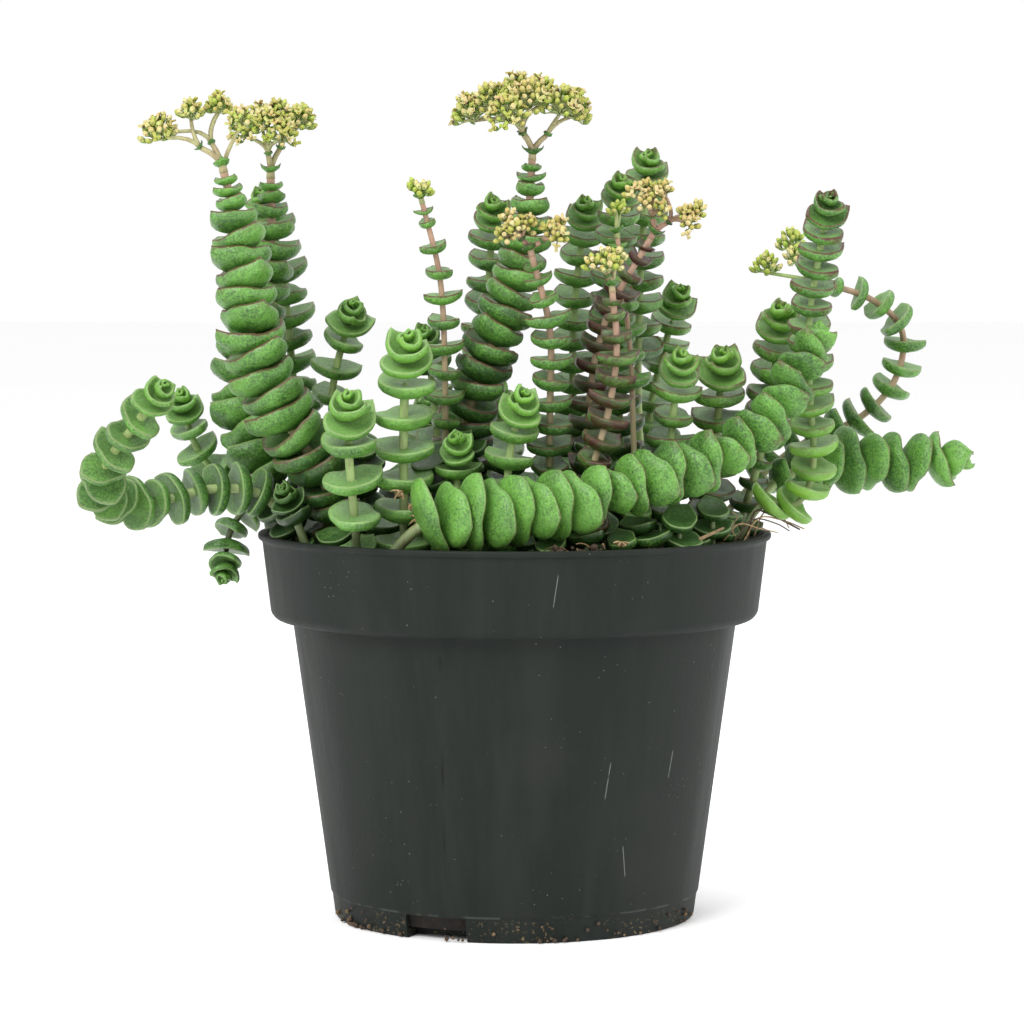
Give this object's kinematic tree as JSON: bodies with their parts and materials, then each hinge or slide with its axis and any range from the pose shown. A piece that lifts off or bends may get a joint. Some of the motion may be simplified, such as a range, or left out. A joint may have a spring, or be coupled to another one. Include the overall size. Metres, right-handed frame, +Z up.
{
  "type": "potted jade necklace",
  "caption": "Jade necklace succulent in a round plastic nursery pot: upright and creeping stems threaded with thick leaf pairs, some ending in flat heads of small cream flowers.",
  "frame": {"origin": "centre of the pot's flat underside, on the surface it stands on", "axes": "+Z up, +Y away from the side the picture shows, +X to the right as the picture shows it"},
  "size_m": [0.2067, 0.12, 0.1973],
  "materials": {
    "pot": "charcoal moulded polypropylene, dull, with fine streaks and dust",
    "soil": "crumbly dark potting soil, stands in for peat",
    "leaf": "fleshy green leaf with a waxy bloom, stands in for living plant",
    "flower": "soft cream petals and buds, stands in for living flowers"
  },
  "bodies": {
    "root": {"pot": "pot", "soil": "soil", "stem_left_tall": "leaf", "stem_left_back": "leaf", "stem_left_far": "leaf", "stem_left_creeper": "leaf", "stem_left_sprout": "leaf", "stem_left_trailing": "leaf", "stem_left_small": "leaf", "stem_front_left": "leaf", "stem_front_mid_left": "leaf", "stem_thin_flower": "leaf", "stem_behind_thin": "leaf", "stem_centre_tall": "leaf", "stem_centre_back": "leaf", "stem_front_flower": "leaf", "stem_front_mid": "leaf", "stem_back_mid": "leaf", "stem_back_tallest": "leaf", "stem_back_tall": "leaf", "stem_purple_flower": "leaf", "stem_front_right_flower": "leaf", "stem_bud": "leaf", "stem_right_back": "leaf", "stem_right_front": "leaf", "stem_right_mid": "leaf", "stem_right_outer": "leaf", "stem_right_tall": "leaf", "stem_front_creeper": "leaf", "stem_right_arch": "leaf", "stem_right_creeper": "leaf", "stem_low_left": "leaf", "stem_curled": "leaf", "stem_sprout": "leaf", "stem_hidden_mid_left": "leaf", "stem_hidden_mid": "leaf", "stem_hidden_right": "leaf", "flowers_left_tall": "flower", "flowers_left_back": "flower", "flowers_thin": "flower", "flowers_centre": "flower", "flowers_front": "flower", "flowers_purple": "flower", "flowers_front_right": "flower", "buds_back": "flower", "buds_right": "flower"}
  },
  "joints": []
}
